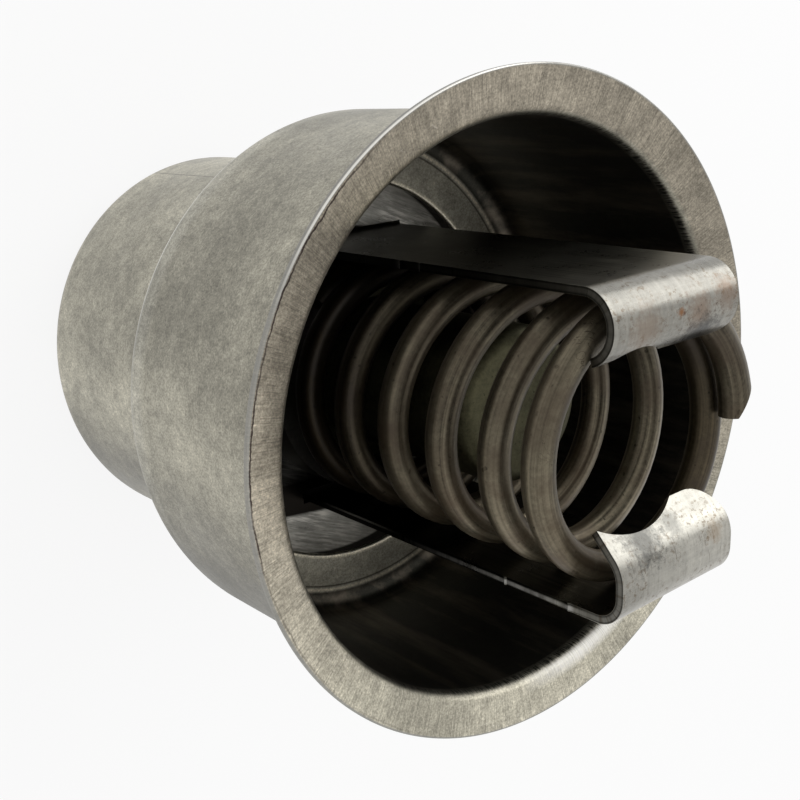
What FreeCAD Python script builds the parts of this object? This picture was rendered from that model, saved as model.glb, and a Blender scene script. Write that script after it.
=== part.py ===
"""Sleeve type engine thermostat: a fixed strap frame and a sprung bell sleeve that slides on it."""
import FreeCAD, Part
import math
import os
import Sketcher

os.makedirs("parts", exist_ok=True)
doc = FreeCAD.newDocument("coolant_thermostat")
V = FreeCAD.Vector

# SIZES
# Millimetres. Z runs along the sleeve, 0 at the back of the seat disc, the mouth and the hooks up.
# The frame, the spring and the wax element share an axis that lies hang_x, hang_y off the sleeve's.
SIZES = [
    ("sheet_gauge", "0.7"), ("hang_x", "0.4"), ("hang_y", "1.4"), ("lift_gap", "0.3"),
    # seat disc
    ("disc_lap", "1.6"), ("disc_gauge", "1.4"), ("boss_radius", "11.4"), ("boss_rise", "1.6"),
    ("boss_slope", "1.6"),
    # neck sleeve
    ("neck_radius", "27.1"), ("mouth_turn", "5.6"), ("neck_corner", "3.4"),
    # bell
    ("flare_radius", "38"), ("flare_z", "72.1"), ("flare_fall", "0.21"), ("lip_width", "4.4"),
    ("throat_round", "1.5"), ("step_z", "38.2"), ("step_round", "2.4"), ("lip_radius", "25.1"),
    ("lip_round", "0.45"),
    # carrier plate
    ("plate_gauge", "1"), ("plate_fit", "0.02"), ("skirt_depth", "5"), ("slot_gap", "0.4"),
    ("window_inner", "17"), ("window_rim", "1.88"), ("window_angle", "58"), ("stem_hole", "5.75"),
    # strap frame
    ("strap_gauge", "0.95"), ("strap_width", "18.5"), ("arm_face", "17.15"), ("web_round", "1.6"),
    ("hook_a_z", "91.5"), ("hook_a_crown", "6.7"), ("hook_a_turn", "70"), ("hook_a_leg", "2.9"),
    ("hook_a_round", "3.9"),
    ("hook_b_z", "93"), ("hook_b_crown", "6.53"), ("hook_b_turn", "44"), ("hook_b_leg", "5.25"),
    ("hook_b_round", "3.5"), ("hook_b_sweep", "4.2"),
    ("notch_a_radius", "5.8"), ("notch_a_depth", "2.3"), ("notch_a_x", "-4.5"),
    ("notch_b_radius", "10"), ("notch_b_depth", "2.1"), ("notch_b_x", "-3.4"),
    ("tip_round", "3.4"), ("tool_reach", "3"), ("socket_hole", "3"),
    # rivets
    ("rivet_y", "8.2"), ("rivet_radius", "1.6"), ("rivet_head", "2.7"), ("rivet_rise", "1.1"),
    # spring
    ("wire_diameter", "3.45"), ("coil_radius", "14.2"), ("coil_turns", "6.378"),
    ("coil_start", "-3"), ("spring_top", "89.87"), ("spring_seat_z", "43.2"),
    ("spring_rest", "0.02"),
    # spring seat
    ("seat_radius", "15.8"), ("seat_inner", "12.6"), ("seat_gauge", "1.1"),
    # wax element
    ("cup_radius", "9.2"), ("cup_gauge", "0.9"), ("cup_top", "70"), ("cup_round", "1.8"),
    ("flange_radius", "11.2"), ("flange_rise", "3.2"), ("crimp_gauge", "0.8"),
    ("stem_radius", "5.7"), ("stem_end", "12"), ("bore_fit", "0.04"), ("chamber_radius", "4"),
    ("chamber_floor", "27"), ("tail_bore", "3.6"), ("tail_depth", "5"), ("skin_gap", "0.02"),
    ("diaphragm_gauge", "0.8"), ("washer_gauge", "1"), ("bush_length", "2.8"), ("seal_length", "1.6"),
    ("clip_gauge", "1"), ("clip_radius", "7.8"), ("clip_groove", "4.9"), ("cap_gauge", "0.5"),
    ("cap_length", "4.2"),
    # piston and its socket
    ("piston_radius", "2"), ("piston_foot", "2.2"), ("piston_top", "26.4"), ("piston_round", "0.5"),
    ("socket_radius", "2.98"), ("socket_flange", "4.7"), ("socket_base", "0.4"), ("socket_top", "7"),
    ("socket_brim", "1.1"),
    # worked out from the sizes above
    ("neck_mouth", "=neck_radius - mouth_turn"), ("disc_radius", "=neck_mouth + disc_lap"),
    ("wall_radius", "=flare_radius - lip_width"),
    ("disc_boss_low", "=boss_rise"), ("disc_boss_top", "=boss_rise + disc_gauge"),
    ("boss_foot", "=boss_radius + boss_slope"),
    ("boss_top_radius", "=boss_radius - 0.35"), ("boss_top_foot", "=boss_foot - 0.35"),
    ("web_z", "=disc_boss_top"), ("web_top", "=web_z + strap_gauge"),
    ("end_z", "=disc_gauge + lift_gap"), ("end_inner_z", "=end_z + sheet_gauge"),
    ("neck_inner", "=neck_radius - sheet_gauge"), ("neck_inner_corner", "=neck_corner - sheet_gauge"),
    ("step_back", "=step_z - sheet_gauge"),
    ("wall_inner", "=wall_radius - sheet_gauge"), ("step_outer_round", "=step_round + sheet_gauge"),
    ("throat_z", "=flare_z - (flare_radius - wall_inner) * flare_fall"),
    ("flare_drop", "=sheet_gauge * sqrt(1 + flare_fall * flare_fall)"),
    ("flare_back", "=flare_z - flare_drop"),
    ("nape_z", "=flare_z - (flare_radius - wall_radius) * flare_fall - flare_drop"),
    ("throat_outer_round", "=throat_round - sheet_gauge"),
    ("plate_z", "=step_back - plate_gauge"), ("plate_radius", "=neck_inner - plate_fit"),
    ("skirt_inner", "=plate_radius - plate_gauge"), ("skirt_z", "=plate_z - skirt_depth"),
    ("window_outer", "=skirt_inner - window_rim"),
    ("arm_inner", "=arm_face - strap_gauge"), ("slot_length", "=strap_width + 2 * slot_gap"),
    ("slot_width", "=strap_gauge + 2 * slot_gap"), ("slot_x", "=hang_x - slot_length / 2"),
    ("slot_up_y", "=hang_y + arm_inner - slot_gap"), ("slot_down_y", "=hang_y - arm_face - slot_gap"),
    ("plate_cut", "=plate_gauge + 1"), ("plate_under", "=plate_z - 0.5"),
    # top hook in side view, outer line then inner line
    ("ha_y", "=arm_face - hook_a_crown"), ("ha_tip_y", "=ha_y - hook_a_leg * cos(hook_a_turn * 1deg)"),
    ("ha_tip_z", "=hook_a_z - hook_a_leg * sin(hook_a_turn * 1deg)"),
    ("ha_in_z", "=hook_a_z - strap_gauge"),
    ("ha_in_y", "=ha_y + strap_gauge * tan(hook_a_turn * 1deg / 2)"),
    ("ha_tip_in_y", "=ha_tip_y + strap_gauge * sin(hook_a_turn * 1deg)"),
    ("ha_tip_in_z", "=ha_tip_z - strap_gauge * cos(hook_a_turn * 1deg)"),
    ("hook_a_inner", "=hook_a_round - strap_gauge"),
    # bottom hook in side view
    ("hb_y", "=-arm_face + hook_b_crown"), ("hb_tip_y", "=hb_y + hook_b_leg * cos(hook_b_turn * 1deg)"),
    ("hb_tip_z", "=hook_b_z - hook_b_leg * sin(hook_b_turn * 1deg)"),
    ("hb_in_z", "=hook_b_z - strap_gauge"),
    ("hb_in_y", "=hb_y - strap_gauge * tan(hook_b_turn * 1deg / 2)"),
    ("hb_tip_in_y", "=hb_tip_y - strap_gauge * sin(hook_b_turn * 1deg)"),
    ("hb_tip_in_z", "=hb_tip_z - strap_gauge * cos(hook_b_turn * 1deg)"),
    ("hook_b_inner", "=hook_b_round - strap_gauge"), ("hook_b_sweep_in", "=hook_b_sweep - strap_gauge"),
    ("arm_face_low", "=-arm_face"), ("arm_inner_low", "=-arm_inner"),
    ("web_round_out", "=web_round + strap_gauge"),
    ("web_drill", "=web_top + 1"),
    # rivets and socket
    ("rivet_low_y", "=-rivet_y"), ("rivet_foot", "=disc_boss_low - rivet_rise"),
    ("rivet_top", "=web_top + rivet_rise"),
    ("socket_brim_top", "=web_top + socket_brim"), ("socket_bore", "=piston_radius + 0.01"),
    # spring seat
    ("seat_base", "=step_back"), ("seat_collar", "=seat_radius - seat_gauge"),
    ("seat_under", "=spring_seat_z - seat_gauge"),
    # element
    ("flange_base", "=step_back"), ("flange_top", "=flange_base + flange_rise"),
    ("bore_radius", "=piston_radius + bore_fit"), ("tail_z", "=stem_end + tail_depth"),
    ("diaphragm_top", "=flange_top + diaphragm_gauge"),
    ("crimp_base", "=flange_base + 0.05"), ("crimp_inner", "=flange_radius + skin_gap"),
    ("crimp_radius", "=crimp_inner + crimp_gauge"), ("crimp_top", "=diaphragm_top + cup_gauge"),
    ("cup_inner", "=cup_radius - cup_gauge"), ("cup_ceiling", "=cup_top - cup_gauge"),
    ("cup_inner_round", "=cup_round - cup_gauge"), ("wax_radius", "=cup_inner - skin_gap"),
    ("wax_top", "=cup_ceiling - skin_gap"), ("diaphragm_radius", "=flange_radius"),
    ("plug_radius", "=chamber_radius - skin_gap"), ("plug_base", "=chamber_floor + washer_gauge"),
    ("washer_base", "=chamber_floor"), ("seal_base", "=stem_end + 0.4"),
    ("seal_top", "=seal_base + seal_length"), ("bush_base", "=tail_z - bush_length"),
    ("bush_radius", "=tail_bore - 0.01"), ("seal_radius", "=tail_bore - 0.01"),
    ("seal_lip", "=piston_radius + 0.03"), ("clip_top", "=plate_z"),
    ("clip_base", "=clip_top - clip_gauge"),
    ("clip_inner", "=clip_groove + 0.02"), ("cap_inner", "=stem_radius + 0.01"),
    ("cap_radius", "=cap_inner + cap_gauge"), ("cap_base", "=stem_end - cap_gauge"),
    ("cap_top", "=cap_base + cap_length"), ("cap_mouth", "=piston_radius + 0.6"),
]
sheet = doc.addObject("Spreadsheet::Sheet", "Sizes")
for row, (alias, entry) in enumerate(SIZES, start=1):
    sheet.set("A%d" % row, alias)
    sheet.set("B%d" % row, entry)
    sheet.setAlias("B%d" % row, alias)
doc.recompute()


def size(alias):
    """The value of one named cell."""
    value = sheet.get(alias)
    return float(getattr(value, "Value", value))


# HELPERS
def origin_plane(body, role):
    return [item for item in body.Origin.OriginFeatures if item.Role == role][0]


def sketch_on(body, name, role):
    sketch = body.newObject("Sketcher::SketchObject", name)
    sketch.AttachmentSupport = [(origin_plane(body, role), "")]
    sketch.MapMode = "FlatFace"
    return sketch


def closed_outline(sketch, corners):
    """Straight-sided loop; each corner is a pair of cell names for its two coordinates."""
    # an empty name stands for 0
    points = [V(size(a) if a else 0.0, size(b) if b else 0.0, 0) for a, b in corners]
    count = len(points)
    for index in range(count):
        sketch.addGeometry(Part.LineSegment(points[index], points[(index + 1) % count]), False)
    for index in range(count):
        sketch.addConstraint(Sketcher.Constraint("Coincident", index, 2, (index + 1) % count, 1))
    for index, names in enumerate(corners):
        spot = points[index]
        for kind, alias, value in (("DistanceX", names[0], spot.x), ("DistanceY", names[1], spot.y)):
            made = sketch.addConstraint(Sketcher.Constraint(kind, index, 1, value))
            if alias:
                sketch.setExpression("Constraints[%d]" % made, "Sizes.%s" % alias)


def place_on_frame_axis(item):
    item.setExpression("Placement.Base.x", "Sizes.hang_x")
    item.setExpression("Placement.Base.y", "Sizes.hang_y")


def turned(label, corners):
    """Body revolved about Z from a half section given as (radius, height) cell names."""
    body = doc.addObject("PartDesign::Body", label)
    section = sketch_on(body, label + "_section", "XZ_Plane")
    closed_outline(section, corners)
    turn = body.newObject("PartDesign::Revolution", label + "_turn")
    turn.Profile = section
    turn.ReferenceAxis = (section, ["V_Axis"])
    turn.Angle = 360
    section.Visibility = False
    doc.recompute()
    return body


def ring_edges(shape, radius, height, slack=0.02):
    """Names of the circular edges of one radius at one height."""
    found = []
    for index, edge in enumerate(shape.Edges, start=1):
        box = edge.BoundBox
        flat = box.ZMax - box.ZMin < slack and abs(box.ZMax - height) < slack
        if flat and abs(box.XMax - radius) < slack:
            found.append("Edge%d" % index)
    return found


def long_edges(shape, y, z, slack=0.02):
    """Names of the edges along X that pass through one point of the side view."""
    found = []
    for index, edge in enumerate(shape.Edges, start=1):
        box = edge.BoundBox
        narrow = box.YMax - box.YMin < slack and box.ZMax - box.ZMin < slack
        if narrow and abs(box.YMax - y) < slack and abs(box.ZMax - z) < slack:
            found.append("Edge%d" % index)
    return found


def round_rings(body, rounds):
    """Round the ring edges given as (radius cell, height cell, rounding cell)."""
    for number, (radius, height, alias) in enumerate(rounds, start=1):
        base = body.Tip
        edges = ring_edges(base.Shape, size(radius), size(height))
        fillet = body.newObject("PartDesign::Fillet", "%s_round_%d" % (body.Label, number))
        fillet.Base = (base, edges)
        fillet.setExpression("Radius", "Sizes.%s" % alias)
        doc.recompute()


def bind(item, pairs):
    for prop, alias in pairs:
        item.setExpression(prop, "Sizes.%s" % alias)


def rod(name, radius, length, base, x=None, y=None):
    item = doc.addObject("Part::Cylinder", name)
    bind(item, [("Radius", radius), ("Height", length), ("Placement.Base.z", base)])
    if x:
        item.setExpression("Placement.Base.x", "Sizes.%s" % x)
    if y:
        item.setExpression("Placement.Base.y", "Sizes.%s" % y)
    return item


def joined(name, items):
    item = doc.addObject("Part::MultiFuse", name)
    item.Shapes = items
    return item


def carved(name, base, tool):
    item = doc.addObject("Part::Cut", name)
    item.Base = base
    item.Tool = tool
    return item


def drill(body, circles, depth):
    """Round holes up from the XY plane; each is (x cell, y cell, radius cell), an empty cell being 0."""
    sketch = sketch_on(body, body.Label + "_holes", "XY_Plane")
    for number, (x, y, radius) in enumerate(circles):
        centre = V(size(x) if x else 0.0, size(y) if y else 0.0, 0)
        sketch.addGeometry(Part.Circle(centre, V(0, 0, 1), size(radius)), False)
        for kind, alias, value in (("DistanceX", x, centre.x), ("DistanceY", y, centre.y)):
            made = sketch.addConstraint(Sketcher.Constraint(kind, number, 3, value))
            if alias:
                sketch.setExpression("Constraints[%d]" % made, "Sizes.%s" % alias)
        made = sketch.addConstraint(Sketcher.Constraint("Radius", number, size(radius)))
        sketch.setExpression("Constraints[%d]" % made, "Sizes.%s" % radius)
    pocket = body.newObject("PartDesign::Pocket", body.Label + "_drill")
    pocket.Profile = sketch
    pocket.Reversed = True
    pocket.setExpression("Length", "Sizes.%s" % depth)
    sketch.Visibility = False
    before = body.Shape.Volume
    doc.recompute()
    if not pocket.Shape.Volume < before:
        raise RuntimeError("holes of %s cut nothing" % body.Label)


parts = {}

# SEAT DISC
# Fixed plate the back end of the sleeve closes on.
# Its middle is pressed up so that the heads under it clear the seat.
disc = turned("seat_disc", [("socket_hole", "disc_boss_low"), ("boss_radius", "disc_boss_low"),
                            ("boss_foot", ""), ("disc_radius", ""), ("disc_radius", "disc_gauge"),
                            ("boss_top_foot", "disc_gauge"), ("boss_top_radius", "disc_boss_top"),
                            ("socket_hole", "disc_boss_top")])
drill(disc, [("", "rivet_y", "rivet_radius"), ("", "rivet_low_y", "rivet_radius")], "web_drill")
place_on_frame_axis(disc)
parts["seat_disc"] = disc

# STRAP FRAME
# One strip bent to a deep U: its web lies on the disc.
# Both arms run out through the sleeve and hook over the spring.
strap = doc.addObject("PartDesign::Body", "strap_blank")
side = sketch_on(strap, "strap_side", "YZ_Plane")
closed_outline(side, [("ha_tip_y", "ha_tip_z"), ("ha_y", "hook_a_z"), ("arm_face", "hook_a_z"),
                      ("arm_face", "web_z"), ("arm_face_low", "web_z"),
                      ("arm_face_low", "hook_b_z"), ("hb_y", "hook_b_z"),
                      ("hb_tip_y", "hb_tip_z"), ("hb_tip_in_y", "hb_tip_in_z"), ("hb_in_y", "hb_in_z"),
                      ("arm_inner_low", "hb_in_z"), ("arm_inner_low", "web_top"),
                      ("arm_inner", "web_top"), ("arm_inner", "ha_in_z"), ("ha_in_y", "ha_in_z"),
                      ("ha_tip_in_y", "ha_tip_in_z")])
strip = strap.newObject("PartDesign::Pad", "strap_strip")
strip.Profile = side
strip.Midplane = True
strip.setExpression("Length", "Sizes.strap_width")
side.Visibility = False
doc.recompute()
for number, (y, z, alias) in enumerate([
        ("arm_inner", "web_top", "web_round"), ("arm_inner_low", "web_top", "web_round"),
        ("arm_face", "web_z", "web_round_out"), ("arm_face_low", "web_z", "web_round_out"),
        ("arm_inner", "ha_in_z", "hook_a_inner"), ("arm_face", "hook_a_z", "hook_a_round"),
        ("ha_in_y", "ha_in_z", "hook_a_inner"), ("ha_y", "hook_a_z", "hook_a_round"),
        ("arm_inner_low", "hb_in_z", "hook_b_inner"), ("arm_face_low", "hook_b_z", "hook_b_round"),
        ("hb_in_y", "hb_in_z", "hook_b_sweep_in"), ("hb_y", "hook_b_z", "hook_b_sweep")], start=1):
    base = strap.Tip
    fillet = strap.newObject("PartDesign::Fillet", "strap_bend_%d" % number)
    fillet.Base = (base, long_edges(base.Shape, size(y), size(z)))
    fillet.setExpression("Radius", "Sizes.%s" % alias)
    doc.recompute()


drill(strap, [("", "", "socket_hole"), ("", "rivet_y", "rivet_radius"),
              ("", "rivet_low_y", "rivet_radius")], "web_drill")
place_on_frame_axis(strap)


def square_to_leg(item, letter, across, back):
    """Stand a tool square to one hook's end leg: across the strip, and back from the tip."""
    way = 1 if letter == "a" else -1
    turn = "Sizes.hook_%s_turn * 1deg" % letter
    item.Placement = FreeCAD.Placement(V(0, 0, 0), FreeCAD.Rotation(V(way, 0, 0), 45))
    item.setExpression("Placement.Rotation.Angle", turn)
    item.setExpression("Placement.Base.x", "Sizes.hang_x + %s" % across)
    item.setExpression("Placement.Base.y", "Sizes.hang_y + Sizes.h%s_tip_y + %d * ((%s) * cos(%s)"
                       " + Sizes.tool_reach * sin(%s))" % (letter, way, back, turn, turn))
    item.setExpression("Placement.Base.z", "Sizes.h%s_tip_z + (%s) * sin(%s) - Sizes.tool_reach * cos(%s)"
                       % (letter, back, turn, turn))
    item.setExpression("Height", "2 * Sizes.tool_reach")


corner_place = "Sizes.strap_width / 2 - Sizes.tip_round"
tools = []
for letter, block_back in (("a", "-1"), ("b", "Sizes.tip_round")):
    # a shallow arc bitten out of the tip, and its outer corner rounded off
    notch = doc.addObject("Part::Cylinder", "notch_" + letter)
    notch.setExpression("Radius", "Sizes.notch_%s_radius" % letter)
    square_to_leg(notch, letter, "Sizes.notch_%s_x" % letter,
                  "Sizes.notch_%s_depth - Sizes.notch_%s_radius" % (letter, letter))
    block = doc.addObject("Part::Box", "corner_block_" + letter)
    block.setExpression("Length", "Sizes.tip_round + 1")
    block.setExpression("Width", "Sizes.tip_round + 1")
    square_to_leg(block, letter, corner_place, block_back)
    keep = doc.addObject("Part::Cylinder", "corner_round_" + letter)
    keep.setExpression("Radius", "Sizes.tip_round")
    square_to_leg(keep, letter, corner_place, "Sizes.tip_round")
    tools += [notch, carved("corner_cut_" + letter, block, keep)]
parts["frame_strap"] = carved("frame_strap", strap, joined("hook_tip_cuts", tools))

# RIVETS
# Two steel rivets hold the web of the strap to the raised middle of the disc.
for label, y in (("rivet_upper", "rivet_y"), ("rivet_lower", "rivet_low_y")):
    rivet = turned(label, [("", "rivet_foot"), ("rivet_head", "rivet_foot"),
                           ("rivet_head", "disc_boss_low"),
                           ("rivet_radius", "disc_boss_low"), ("rivet_radius", "web_top"),
                           ("rivet_head", "web_top"), ("rivet_head", "rivet_top"), ("", "rivet_top")])
    rivet.setExpression("Placement.Base.x", "Sizes.hang_x")
    rivet.setExpression("Placement.Base.y", "Sizes.hang_y + Sizes.%s" % y)
    parts[label] = rivet

# PISTON AND SOCKET
# Turned socket clinched through disc and web; it holds the foot of the piston the element pushes against.
socket = turned("piston_socket", [("", "socket_base"), ("socket_flange", "socket_base"),
                                  ("socket_flange", "disc_boss_low"), ("socket_radius", "disc_boss_low"),
                                  ("socket_radius", "web_top"), ("socket_flange", "web_top"),
                                  ("socket_flange", "socket_brim_top"), ("socket_radius", "socket_top"),
                                  ("socket_bore", "socket_top"), ("socket_bore", "piston_foot"),
                                  ("", "piston_foot")])
place_on_frame_axis(socket)
parts["piston_socket"] = socket
piston = turned("piston", [("", "piston_foot"), ("piston_radius", "piston_foot"),
                           ("piston_radius", "piston_top"), ("", "piston_top")])
round_rings(piston, [("piston_radius", "piston_top", "piston_round")])
place_on_frame_axis(piston)
parts["piston"] = piston

# SPRING
# Round wire, one closed coil at each end, the ends cut square; its front coil bears in the two hooks.
spring = doc.addObject("Part::Feature", "main_spring")
wire = size("wire_diameter")
turns = size("coil_turns")
top = size("spring_top") - wire / 2
bottom = size("spring_seat_z") + size("spring_rest") + wire / 2
STEPS = 24


def closed_share(turn):
    """1 in an end coil, 0 in the open ones, with a short change between them."""
    from_end = min(turn, turns - turn)
    change = min(max((from_end - 0.8) / 0.25, 0.0), 1.0)
    return 1.0 - change * change * (3 - 2 * change)


count = int(round(turns * STEPS))
marks = [turns * index / count for index in range(count + 1)]
closed = sum(closed_share((a + b) / 2) * (b - a) for a, b in zip(marks, marks[1:]))
open_pitch = (top - bottom - closed * wire) / (turns - closed)
level = top
path_points = []
for index, turn in enumerate(marks):
    if index:
        share = closed_share((turn + marks[index - 1]) / 2)
        level -= (share * wire + (1 - share) * open_pitch) * (turn - marks[index - 1])
    angle = math.radians(size("coil_start") + 360 * turn)
    path_points.append(V(size("coil_radius") * math.cos(angle),
                         size("coil_radius") * math.sin(angle), level))
path = Part.BSplineCurve()
path.interpolate(path_points)
start = path.value(path.FirstParameter)
along = path.tangent(path.FirstParameter)[0]
section = Part.Wire(Part.Circle(start, along, wire / 2).toShape())
coil = Part.Wire(path.toShape()).makePipeShell([section], True, True)
spring.Shape = coil if coil.ShapeType == "Solid" else Part.Solid(coil)
place_on_frame_axis(spring)
parts["main_spring"] = spring

# BELL
# Deep drawn: flat lip rising slightly outward, straight wall, flat step turned in to a round opening.
bell = turned("valve_sleeve", [("flare_radius", "flare_z"), ("wall_inner", "throat_z"),
                               ("wall_inner", "step_z"), ("lip_radius", "step_z"),
                               ("lip_radius", "step_back"), ("wall_radius", "step_back"),
                               ("wall_radius", "nape_z"), ("flare_radius", "flare_back")])
round_rings(bell, [("wall_inner", "throat_z", "throat_round"),
                   ("wall_radius", "nape_z", "throat_outer_round"),
                   ("wall_inner", "step_z", "step_round"),
                   ("wall_radius", "step_back", "step_outer_round"),
                   ("lip_radius", "step_z", "lip_round")])
parts["valve_sleeve"] = bell

# NECK SLEEVE
# Narrower tube seamed to the back of the bell.
# Its far end is turned in to the edge that closes on the seat disc.
neck = turned("neck_sleeve", [("neck_mouth", "end_z"), ("neck_radius", "end_z"),
                              ("neck_radius", "step_back"), ("neck_inner", "step_back"),
                              ("neck_inner", "end_inner_z"), ("neck_mouth", "end_inner_z")])
round_rings(neck, [("neck_radius", "end_z", "neck_corner"),
                   ("neck_inner", "end_inner_z", "neck_inner_corner")])
parts["neck_sleeve"] = neck

# CARRIER PLATE
# Brushed disc with a skirt pressed into the neck; slots pass the arms, side windows pass the coolant.
cover = rod("plate_cover", "plate_radius", "plate_gauge", "plate_z")
skirt = carved("plate_skirt", rod("skirt_outside", "plate_radius", "skirt_depth", "skirt_z"),
               rod("skirt_inside", "skirt_inner", "skirt_depth", "skirt_z"))
openings = [rod("plate_stem_hole", "stem_hole", "plate_cut", "plate_under", "hang_x", "hang_y")]
for name, y in (("slot_up", "slot_up_y"), ("slot_down", "slot_down_y")):
    slot = doc.addObject("Part::Box", name)
    bind(slot, [("Length", "slot_length"), ("Width", "slot_width"), ("Height", "plate_cut"),
                ("Placement.Base.x", "slot_x"), ("Placement.Base.y", y),
                ("Placement.Base.z", "plate_under")])
    openings.append(slot)
for name, axis, turn in (("window_right", -1, "Sizes.window_angle / 2"),
                         ("window_left", 1, "180 - Sizes.window_angle / 2")):
    sectors = []
    for part, radius in (("_outer", "window_outer"), ("_inner", "window_inner")):
        sector = rod(name + part, radius, "plate_cut", "plate_under")
        sector.Placement = FreeCAD.Placement(V(0, 0, 0), FreeCAD.Rotation(V(0, 0, axis), 45))
        sector.setExpression("Placement.Rotation.Angle", "(%s) * 1deg" % turn)
        sector.setExpression("Angle", "Sizes.window_angle")
        sectors.append(sector)
    openings.append(carved(name, *sectors))
parts["carrier_plate"] = carved("carrier_plate", joined("plate_blank", [cover, skirt]),
                                joined("plate_openings", openings))

# SPRING SEAT
# Stamped ring round the element; the spring's back coil stands on its upper flange.
seat = turned("spring_seat", [("seat_inner", "spring_seat_z"), ("seat_inner", "seat_under"),
                              ("seat_collar", "seat_under"), ("seat_collar", "seat_base"),
                              ("seat_radius", "seat_base"), ("seat_radius", "spring_seat_z")])
place_on_frame_axis(seat)
parts["spring_seat"] = seat

# WAX ELEMENT
# Cup with a closed front end, crimped at its foot over the flange of the guide.
cup = turned("element_cup", [("", "cup_top"), ("cup_radius", "cup_top"), ("cup_radius", "crimp_top"),
                             ("crimp_radius", "crimp_top"), ("crimp_radius", "crimp_base"),
                             ("crimp_inner", "crimp_base"), ("crimp_inner", "diaphragm_top"),
                             ("cup_inner", "diaphragm_top"), ("cup_inner", "cup_ceiling"),
                             ("", "cup_ceiling")])
round_rings(cup, [("cup_radius", "cup_top", "cup_round"),
                  ("cup_inner", "cup_ceiling", "cup_inner_round")])
place_on_frame_axis(cup)
parts["element_cup"] = cup
guide = turned("element_guide", [("tail_bore", "stem_end"), ("stem_radius", "stem_end"),
                                 ("stem_radius", "clip_base"), ("clip_groove", "clip_base"),
                                 ("clip_groove", "clip_top"), ("stem_radius", "clip_top"),
                                 ("stem_radius", "flange_base"), ("flange_radius", "flange_base"),
                                 ("flange_radius", "flange_top"), ("chamber_radius", "flange_top"),
                                 ("chamber_radius", "chamber_floor"), ("bore_radius", "chamber_floor"),
                                 ("bore_radius", "tail_z"), ("tail_bore", "tail_z")])
place_on_frame_axis(guide)
parts["element_guide"] = guide

# Wax that swells as it melts, the rubber it squeezes, and the thin ring that keeps the rubber
# out of the bore.
wax = turned("wax_fill", [("", "diaphragm_top"), ("wax_radius", "diaphragm_top"),
                          ("wax_radius", "wax_top"), ("", "wax_top")])
round_rings(wax, [("wax_radius", "wax_top", "cup_inner_round")])
place_on_frame_axis(wax)
parts["wax_fill"] = wax
plug = turned("rubber_plug", [("", "plug_base"), ("plug_radius", "plug_base"),
                              ("plug_radius", "flange_top"), ("diaphragm_radius", "flange_top"),
                              ("diaphragm_radius", "diaphragm_top"), ("", "diaphragm_top")])
place_on_frame_axis(plug)
parts["rubber_plug"] = plug
washer = turned("plug_washer", [("", "washer_base"), ("plug_radius", "washer_base"),
                                ("plug_radius", "plug_base"), ("", "plug_base")])
place_on_frame_axis(washer)
parts["plug_washer"] = washer

# Bearing bush and lip seal in the tail of the guide, closed by a thin cap.
# The clip behind the plate holds it all.
bush = turned("guide_bush", [("bore_radius", "bush_base"), ("bush_radius", "bush_base"),
                             ("bush_radius", "tail_z"), ("bore_radius", "tail_z")])
place_on_frame_axis(bush)
parts["guide_bush"] = bush
seal = turned("piston_seal", [("seal_lip", "seal_base"), ("seal_radius", "seal_base"),
                              ("seal_radius", "seal_top"), ("seal_lip", "seal_top")])
place_on_frame_axis(seal)
parts["piston_seal"] = seal
cap = turned("seal_cap", [("cap_mouth", "cap_base"), ("cap_radius", "cap_base"),
                          ("cap_radius", "cap_top"), ("cap_inner", "cap_top"),
                          ("cap_inner", "stem_end"), ("cap_mouth", "stem_end")])
place_on_frame_axis(cap)
parts["seal_cap"] = cap
clip = turned("element_clip", [("clip_inner", "clip_base"), ("clip_radius", "clip_base"),
                               ("clip_radius", "clip_top"), ("clip_inner", "clip_top")])
place_on_frame_axis(clip)
parts["element_clip"] = clip

# CHECKS AND FILES
doc.recompute()
for item in doc.Objects:
    if "Invalid" in item.State or "Error" in item.State:
        raise RuntimeError("%s is in state %s" % (item.Label, item.State))
    shape = getattr(item, "Shape", None)
    if shape is not None and not item.isDerivedFrom("App::OriginFeature"):
        if shape.isNull() or (shape.Solids and not shape.isValid()):
            raise RuntimeError("%s has no valid shape" % item.Label)
for label, item in parts.items():
    if len(item.Shape.Solids) != 1:
        raise RuntimeError("%s has %d solids" % (label, len(item.Shape.Solids)))
    item.Shape.exportStep("parts/%s.step" % label)
    box = item.Shape.BoundBox
    print("%-14s %9.1f mm3  x %.2f %.2f  y %.2f %.2f  z %.2f %.2f" % (
        label, item.Shape.Volume, box.XMin, box.XMax, box.YMin, box.YMax, box.ZMin, box.ZMax))
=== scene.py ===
import math
from types import SimpleNamespace

import bpy
import numpy as np
from mathutils import Matrix, Vector


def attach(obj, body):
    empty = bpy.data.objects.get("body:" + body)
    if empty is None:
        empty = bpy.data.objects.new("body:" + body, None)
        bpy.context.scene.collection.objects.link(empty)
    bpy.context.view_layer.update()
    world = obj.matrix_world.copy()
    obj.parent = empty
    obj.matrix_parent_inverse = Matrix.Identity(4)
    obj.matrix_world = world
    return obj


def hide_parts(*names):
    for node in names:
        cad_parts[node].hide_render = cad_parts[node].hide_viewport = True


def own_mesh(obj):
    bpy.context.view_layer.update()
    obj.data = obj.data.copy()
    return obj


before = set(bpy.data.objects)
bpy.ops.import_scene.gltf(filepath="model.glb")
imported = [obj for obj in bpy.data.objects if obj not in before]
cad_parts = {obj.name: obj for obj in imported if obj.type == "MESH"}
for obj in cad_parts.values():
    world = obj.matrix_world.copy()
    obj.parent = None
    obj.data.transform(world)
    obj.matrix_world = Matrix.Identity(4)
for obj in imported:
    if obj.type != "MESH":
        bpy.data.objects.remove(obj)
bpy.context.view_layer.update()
mm = 0.001

# Seat disc. A pressed steel disc at the back that the sleeve's end closes on, with a raised middle.
# It is riveted to the strap and stays still; the part stands on it.


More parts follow.
